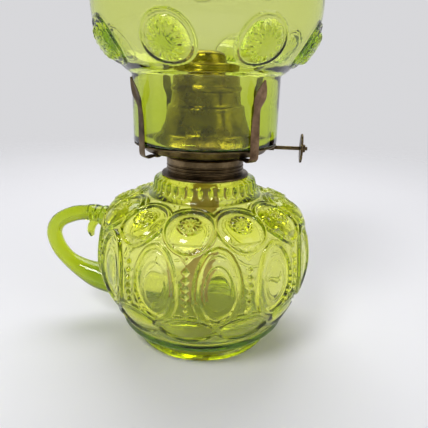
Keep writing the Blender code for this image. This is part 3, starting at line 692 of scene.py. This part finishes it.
def shade_inside(outer):
    """The inner side, from the foot up to the rim, with the fitter's wall thicker."""
    inner = inward(resampled(softened(outer, 4.0, closed=False), 1.0), SHADE_WALL)[::-1]
    extra = np.clip((FITTER_TOP - inner[:, 1]) / FITTER_EASE, 0, 1)
    extra *= np.clip((inner[:, 1] - SHADE_FOOT - 0.1) / 2.0, 0, 1)
    inner[:, 0] -= FITTER_EXTRA * extra
    inner[0, 1] = SHADE_FOOT
    inner[-1, 1] = SHADE_TOP - 0.4
    return resampled(softened(inner, 2.0, closed=False), 1.6)


def rounded_edge(start, end, swell):
    """Three points of an arc from start to end that swells up, or down if swell is negative."""
    points = []
    for t in (0.25, 0.5, 0.75):
        points.append(start * (1 - t) + end * t + (0, swell * math.sin(math.pi * t)))
    return np.array(points)


def make_shade():
    """The open shade: a straight fitter, a bulb with two rows of moons, and a flared neck."""
    outer = shade_outline()
    inner = shade_inside(outer)
    side = resampled(softened(outer, 1.2, closed=False), 0.7)
    side[0, 1], side[-1, 1] = SHADE_TOP - 0.4, SHADE_FOOT
    rim = rounded_edge(inner[-1], side[0], 0.38)
    foot = rounded_edge(side[-1], inner[0], -0.38)
    bulb = np.flatnonzero((side[:, 1] < 212.0) & (side[:, 1] > 146.0))
    rows = slice(bulb[0], bulb[-1] + 1)
    relief = pressed(side, rows, shade_relief, SHADE_SECTORS, SHADE_COLUMNS, SHADE_ROOM, 6.0)
    turn = np.radians(FACING + SHADE_FIRST - 180.0 / SHADE_SECTORS)
    angles = turn + full_turn(relief.shape[1])
    plain = [turned_grid(points, angles) for points in (inner, rim, foot)]
    outside = displaced(side, relief, angles)
    grid = np.concatenate([plain[0], plain[1], outside, plain[2]])
    mesh = skin("glass_shade", grid, loop=True)
    return place("glass_shade", mesh, SHADE_GLASS, "shade", "green_glass", "shade")


# ---------------------------------------------------------------- burner


def make_collar():
    """The ridged screw collar with its flange, a turned sheet of brass."""
    flange, ridge, groove = 95.2, 20.9, 20.05
    outline = [(16.2, 94.8), (16.2, COLLAR_TOP - 0.1), (16.6, COLLAR_TOP), (20.5, COLLAR_TOP)]
    outline += [(ridge, COLLAR_TOP - 0.5)]
    for k in range(3):
        middle = 100.2 - 1.7 * k
        outline += [(ridge, middle + 0.62), (groove + 0.25, middle + 0.45), (groove, middle)]
        outline += [(groove + 0.25, middle - 0.45), (ridge, middle - 0.62)]
    outline += [(20.6, flange + 0.2), (23.4, flange), (23.8, 94.6), (23.6, 93.9), (19.7, 93.9)]
    outline += [(19.7, COLLAR_TOP - 0.7), (16.7, COLLAR_TOP - 0.7), (16.7, 94.8)]
    mesh = turned("brass_collar", outline, 200)
    place("brass_collar", mesh, AGED, "base", "aged_brass", "collar")


def make_skirt():
    """The burner's threaded base, with the crests and roots of its thread as rings."""
    thread, pitch = 15.9, 1.6
    outline = [(16.4, 107.0), (16.9, 107.0), (16.9, 105.2), (18.2, 105.0), (18.2, 104.4)]
    outline += [(thread, 104.4)]
    for k in range(4):
        outline += [(thread, 103.4 - pitch * k), (thread - 0.35, 102.6 - pitch * k)]
    outline += [(15.7, 96.6), (15.4, 96.6), (15.2, 104.6), (16.4, 105.6)]
    mesh = turned("screw_skirt", outline, 160, 0.12)
    place("screw_skirt", mesh, AGED, "burner", "aged_brass", "burner_skirt")


def make_pan():
    """The flared pan of sheet brass, whose outer ledge carries the shade."""
    outline = [(37.2, 111.8), (37.7, 111.7), (37.8, 111.2), (37.4, 110.9), (34.4, 110.9)]
    outline += [(33.9, 110.6), (32.5, 107.9), (31.7, 107.3), (15.8, 107.3), (15.8, PAN_FLOOR)]
    outline += [(31.4, PAN_FLOOR), (32.1, 108.3), (33.5, 111.2), (34.2, 111.5), (36.9, 111.5)]
    mesh = turned("gallery_pan", outline, 220, 0.3)
    place("gallery_pan", mesh, AGED, "burner", "aged_brass", "burner_pan")


def deflector_outline():
    """The dome's outer side, from its middle down: crown, two rolled beads, flare and flange."""
    top, base, waist, spread = DOME_TOP, DOME_FOOT, 17.6, 11.9
    low, high = base + 0.36 * (top - base), base + 0.57 * (top - base)
    path = [(0.05, top), (6.2, top - 0.2), (9.3, top - 1.4), (10.0, top - 3.6), (10.3, top - 6.6)]
    path += [(waist - 2.6, top - 9.0), (waist - 0.7, top - 11.2), (waist - 0.1, high + 1.6)]
    path += [(waist + 0.9, high + 0.7), (waist + 0.9, high - 0.7), (waist, high - 1.6)]
    path += [(waist + 0.6, low + 2.6), (waist + 1.0, low + 1.1), (waist + 0.22 * spread, low + 0.6)]
    path += [(waist + 0.22 * spread, low - 0.6), (waist + 0.24 * spread, low - 1.6)]
    path += [(waist + 0.34 * spread, base + 9.8), (23.6, base + 4.9), (24.3, base + 3.7)]
    path += [(24.9, base + 3.7), (25.4, base + 3.2), (28.1, base + 1.2), (29.4, base + 0.5)]
    return path


def carve(obj, tool_mesh):
    """Cuts the tool out of obj's own mesh."""
    tool = linked("tool", tool_mesh)
    tool.location = obj.location
    cut = obj.modifiers.new("cut", "BOOLEAN")
    cut.operation = "DIFFERENCE"
    cut.object = tool
    made = baked(obj)
    obj.modifiers.clear()
    obj.data = made
    bpy.data.objects.remove(tool)
    made.shade_smooth()
    made.set_sharp_from_angle(angle=math.radians(40))


def flame_slot():
    """The slot in the dome's crown that the wick burns in, as a block with rounded corners."""
    block = bmesh.new()
    bmesh.ops.create_cube(block, size=1)
    bmesh.ops.scale(block, vec=(17.6 * MM, 4.0 * MM, 7.0 * MM), verts=block.verts)
    upright = [e for e in block.edges if abs(e.verts[0].co.z - e.verts[1].co.z) > MM]
    bmesh.ops.bevel(block, geom=upright, offset=1.2 * MM, segments=5, affect="EDGES")
    bmesh.ops.translate(block, vec=(0, 0, DOME_TOP * MM), verts=block.verts)
    return mesh_from("flame_slot", block)


def make_deflector():
    """The stepped dome of thin sheet over the flame, with its slot."""
    outer = resampled(softened(deflector_outline(), 1.6, closed=False), 0.5)
    inner = inward(outer, 0.5)[::-1]
    inner[-1, 0] = outer[0, 0]
    inner[:, 1] = np.maximum(inner[:, 1], DOME_FOOT + 0.05)
    edge = [(29.5, DOME_FOOT + 0.3), (29.3, DOME_FOOT), (28.6, DOME_FOOT + 0.02)]
    outline = [*outer, *edge, *inner[2:]]
    mesh = skin("draught_dome", turned_grid(outline, full_turn(180)), loop=True)
    obj = place("draught_dome", mesh, YELLOW, "burner", "yellow_brass", "deflector")
    carve(obj, flame_slot())


def shaft_ring(x, radius, turn):
    """Points round the wick shaft's axis at x."""
    return np.stack([x + 0 * turn, SHAFT_Y + radius * np.cos(turn), SHAFT_Z + radius * np.sin(turn)], -1)


def shaft_rod(name, radius, x0, x1):
    """A bar about the wick shaft's axis, with eased ends."""
    ease = 0.25
    stations = [(x0, radius - ease), (x0 + ease, radius), (x1 - ease, radius), (x1, radius - ease)]
    turn = -full_turn(48)
    return skin(name, np.array([shaft_ring(x, r, turn) for x, r in stations]), capped=True)


def knob_mesh():
    """The thumb knob: a dished disc whose rim is scalloped."""
    turn = -full_turn(280)
    scallop = 0.5 * np.abs(np.sin(7 * turn)) ** 0.6 - 0.3
    profile = [(50.75, 1.1), (50.75, 3.0), (50.55, 3.6), (50.6, 6.2), (50.7, 7.3), (50.95, 7.55)]
    profile += [(51.2, 7.6), (51.45, 7.55), (51.75, 7.3), (51.8, 6.2), (51.75, 3.6), (51.55, 3.0)]
    profile += [(51.55, 1.1)]
    rows = [shaft_ring(x, r + scallop * max(0.0, (r - 5.5) / 2.1), turn) for x, r in profile]
    return skin("winder_knob", np.array(rows), capped=True)


def make_winder():
    """The wick shaft, with the knob and the collet that holds it."""
    shaft = shaft_rod("winder_shaft", 1.0, -9.9, 54.5)
    place("winder_shaft", shaft, AGED, "winder", "aged_brass", "wick_shaft", sharp=35)
    collet = shaft_rod("winder_collet", 2.1, 52.1, 53.3)
    place("winder_collet", collet, AGED, "winder", "aged_brass", "knob_collet", sharp=35)
    place("winder_knob", knob_mesh(), AGED, "winder", "aged_brass", "knob")


def prong_route():
    """The prong's middle line as (radius, height, half width), from its tail to its tip."""
    out, tall, half = 8.6, 37.2, 2.75
    spots = [(-1.8, 0, 0.9), (0, 0, 1), (out - 5.5, 0, 1), (out - 2.4, -0.6, 1)]
    spots += [(out - 0.6, 0.4, 1), (out, 2.5, 1), (out, 0.30 * tall, 1), (out + 0.1, 0.52 * tall, 0.87)]
    spots += [(out + 0.6, 0.65 * tall, 0.75), (out + 1.3, 0.73 * tall, 1.15)]
    spots += [(out + 2.1, 0.80 * tall, 1.27), (out + 3.2, 0.90 * tall, 0.90), (out + 4.4, tall, 0.16)]
    route = [(PRONG_CIRCLE + a, PRONG_Z + b, c * half) for a, b, c in spots]
    return smooth_curve(route, 0.35)


def prong_mesh(name, angle):
    """A strip of sheet with rounded edges, whose leaf head is dished and has a vein."""
    route = prong_route()
    radial = np.array([math.cos(angle), math.sin(angle), 0.0])
    across = np.array([-math.sin(angle), math.cos(angle), 0.0])
    centre = route[:, :1] * radial + route[:, 1:2] * np.array([0, 0, 1.0])
    ahead = np.gradient(centre, axis=0)
    ahead /= np.linalg.norm(ahead, axis=1)[:, None]
    outward = np.cross(across[None, :], ahead)
    turn = full_turn(36)
    flat = squared_off(np.cos(turn), 0.75)[None, :]
    deep = squared_off(np.sin(turn), 0.55)[None, :]
    leaf = np.clip((route[:, 1] - 133.0) / 3.0, 0, 1)[:, None]
    dish = leaf * (0.35 * flat**2 - 0.28 * np.exp(-((flat / 0.14) ** 2)))
    wide = route[:, 2][:, None] * flat
    thick = PRONG_SHEET * deep + dish
    grid = centre[:, None, :] + wide[..., None] * across + thick[..., None] * outward[:, None, :]
    mesh = skin(name, grid, capped=True)
    soft = bmesh.new()
    soft.from_mesh(mesh)
    bmesh.ops.recalc_face_normals(soft, faces=soft.faces)
    return mesh_from(name, soft)


def rivet_mesh(name, angle):
    """A rivet with one head on the pan's floor and one under the prong's tail."""
    under = PRONG_Z - PRONG_SHEET
    outline = [(0.05, PAN_FLOOR + 0.75), (1.0, PAN_FLOOR + 0.65), (1.6, PAN_FLOOR + 0.35)]
    outline += [(1.8, PAN_FLOOR + 0.05), (1.0, PAN_FLOOR + 0.02), (1.0, under - 0.05)]
    outline += [(1.8, under - 0.1), (1.55, under - 0.5), (0.8, under - 0.75), (0.05, under - 0.8)]
    grid = turned_grid(softened(outline, 0.2, closed=False), full_turn(32))
    grid += np.array([PRONG_CIRCLE * math.cos(angle), PRONG_CIRCLE * math.sin(angle), 0.0])
    return skin(name, grid, capped=True)


def make_prongs():
    """Four prongs, each with its rivet. The two on the right are redder."""
    for k in range(4):
        angle = math.radians(45 + 90 * k)
        prong, pin = "shade_prong_%d" % (k + 1), "prong_pin_%d" % (k + 1)
        node, rivet = "prong_%d" % (k + 1), "prong_rivet_%d" % (k + 1)
        look = ROSY if k in (0, 3) else AGED
        place(prong, prong_mesh(prong, angle), look, node, "aged_brass", node)
        place(pin, rivet_mesh(pin, angle), AGED, "burner", "aged_brass", rivet)


def make_wick():
    """A woven strip: nine cords side by side, crossed by fine weft, that twists and sways
    where it hangs loose in the bowl."""
    bottom, top, leaves_tube = 17.2, 156.2, 81.6
    half_width, half_thickness, weft_pitch, cord_count = 7.9, 0.70, 1.1, 9
    turn = full_turn(120)
    flat = squared_off(np.cos(turn), 0.35)
    deep = squared_off(np.sin(turn), 0.6)
    phase = cord_count * np.pi / 2 * (flat + 1)
    cords = 0.16 * np.abs(np.sin(phase))
    rows = []
    for height in np.linspace(bottom, top, 460):
        loose = max(0.0, (leaves_tube - height) / (leaves_tube - bottom))
        twist = math.radians(75) * math.sin(math.pi * min(1, 1.35 * loose)) ** 2
        sway = 3 * math.sin(2 * math.pi * loose) - 7.5 * loose * loose
        middle = np.array([-3 * loose, sway, height])
        across = np.array([math.cos(twist), math.sin(twist), 0.0])
        face = np.array([-math.sin(twist), math.cos(twist), 0.0])
        weft = 0.06 * math.sin(2 * math.pi * height / weft_pitch)
        depth = (half_thickness + cords + weft * np.cos(phase)) * deep
        rows.append(middle + half_width * flat[:, None] * across + depth[:, None] * face)
    mesh = skin("woven_wick", np.array(rows)[::-1], capped=True)
    place("woven_wick", mesh, COTTON, "wick", "wick_cotton", "wick")


def dress_nodes():
    """Finishes for the CAD nodes that stay."""
    looks = {"collar_cement": CEMENT}
    looks.update(dict.fromkeys(("wick_tube", "gallery_plate", "vent_tube"), YELLOW))
    hidden = ("base_plate", "shaft_tab_left", "shaft_tab_right", "shaft_bush")
    looks.update(dict.fromkeys(hidden + ("spur_wheel_left", "spur_wheel_right"), AGED))
    for name, look in looks.items():
        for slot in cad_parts[name].material_slots:
            slot.material = look


# ---------------------------------------------------------------- studio


def floor_look():
    """A pale, almost dull floor that fades into the world round it."""
    look, nodes, links, shader = new_look("pale_floor")
    shader.inputs["Base Color"].default_value = (0.80, 0.80, 0.83, 1)
    shader.inputs["Roughness"].default_value = 0.6
    shader.inputs["Specular IOR Level"].default_value = 0.15
    where = nodes.new("ShaderNodeTexCoord")
    length = nodes.new("ShaderNodeVectorMath")
    length.operation = "LENGTH"
    links.new(where.outputs["Object"], length.inputs[0])
    fade = nodes.new("ShaderNodeMapRange")
    fade.interpolation_type = "SMOOTHSTEP"
    fade.inputs["From Min"].default_value = 0.25
    fade.inputs["From Max"].default_value = 0.95
    links.new(length.outputs["Value"], fade.inputs["Value"])
    clear = nodes.new("ShaderNodeBsdfTransparent")
    mix = nodes.new("ShaderNodeMixShader")
    links.new(fade.outputs["Result"], mix.inputs["Fac"])
    links.new(shader.outputs["BSDF"], mix.inputs[1])
    links.new(clear.outputs["BSDF"], mix.inputs[2])
    links.new(mix.outputs["Shader"], nodes["Material Output"].inputs["Surface"])
    return look


def make_floor():
    """It lies a hair under the lamp, so that the foot's glass has air beneath it."""
    soft = bmesh.new()
    bmesh.ops.create_circle(soft, cap_ends=True, segments=96, radius=3.0)
    floor = linked("floor", mesh_from("floor", soft))
    floor.location.z = -0.15 * MM
    floor.data.materials.append(floor_look())


def make_world():
    """Pale all round, and darker overhead and at the front, which draws the relief's lines."""
    world = bpy.data.worlds.new("studio")
    bpy.context.scene.world = world
    world.use_nodes = True
    nodes, links = world.node_tree.nodes, world.node_tree.links
    where = nodes.new("ShaderNodeTexCoord")
    parts = nodes.new("ShaderNodeSeparateXYZ")
    links.new(where.outputs["Generated"], parts.inputs["Vector"])
    tones = [(0.22, (0.685, 0.685, 0.705)), (0.62, (0.16, 0.16, 0.165))]
    made = ramp(nodes, links, parts.outputs["Z"], tones)
    front = nodes.new("ShaderNodeMapRange")
    front.inputs["From Min"].default_value = -0.95
    front.inputs["From Max"].default_value = -0.25
    front.inputs["To Min"].default_value = 0.72
    links.new(parts.outputs["Y"], front.inputs["Value"])
    dim = nodes.new("ShaderNodeVectorMath")
    dim.operation = "SCALE"
    links.new(made, dim.inputs[0])
    links.new(front.outputs["Result"], dim.inputs["Scale"])
    background = nodes["Background"]
    links.new(dim.outputs["Vector"], background.inputs["Color"])
    background.inputs["Strength"].default_value = 1.0


def area_light(name, azimuth, elevation, distance, size, power):
    """A soft box that faces the lamp. Azimuth 0 is the front and 90 the right."""
    a, e = math.radians(azimuth), math.radians(elevation)
    target = Vector((AXIS_X * MM, 0, 0.11))
    back = Vector((math.sin(a) * math.cos(e), -math.cos(a) * math.cos(e), math.sin(e)))
    data = bpy.data.lights.new(name, "AREA")
    data.shape = "RECTANGLE"
    data.size, data.size_y = size
    data.energy = power
    obj = linked(name, data)
    obj.location = target + back * distance
    obj.rotation_euler = (-back).to_track_quat("-Z", "Y").to_euler()


def make_lights():
    """A small key from the left, a broad fill from the right, and a strong light behind."""
    area_light("key", -28, 50, 1.1, (0.34, 0.30), 5.5)
    area_light("fill", 60, 35, 1.3, (0.8, 0.8), 3.2)
    area_light("back", 188, 58, 1.2, (1.1, 0.8), 10.5)


def make_camera():
    """The photograph's view: close, a little above and slightly tilted."""
    data = bpy.data.cameras.new("camera")
    data.lens = 35.75
    data.sensor_width = 36.0  # as wide as a full film frame
    data.clip_start = 0.01
    camera = linked("camera", data)
    azimuth, pitch, roll = (math.radians(angle) for angle in (6.8, 18.03, 1.35))
    right, back, up = 5.5, 230.0, 145.2  # from the lamp's axis and the table
    camera.location = (
        (AXIS_X + right * math.cos(azimuth) + back * math.sin(azimuth)) * MM,
        (right * math.sin(azimuth) - back * math.cos(azimuth)) * MM,
        up * MM,
    )
    turn = Matrix.Rotation(azimuth, 4, "Z") @ Matrix.Rotation(math.pi / 2 - pitch, 4, "X")
    turn = turn @ Matrix.Rotation(roll, 4, "Z")
    camera.rotation_euler = turn.to_euler()
    bpy.context.scene.camera = camera


def make_render():
    """Enough bounces to see through the many layers of glass."""
    scene = bpy.context.scene
    scene.view_settings.view_transform = "Standard"
    cycles = scene.cycles
    cycles.max_bounces = 22
    cycles.transmission_bounces = 20
    cycles.transparent_max_bounces = 12
    cycles.glossy_bounces = 6
    cycles.diffuse_bounces = 3
    cycles.sample_clamp_indirect = 6.0
    cycles.blur_glossy = 0.6
    cycles.use_denoising = True


make_camera()
make_font()
make_handle()
make_collar()
make_skirt()
make_pan()
make_deflector()
make_winder()
make_prongs()
make_wick()
make_shade()
dress_nodes()
make_floor()
make_world()
make_lights()
make_render()
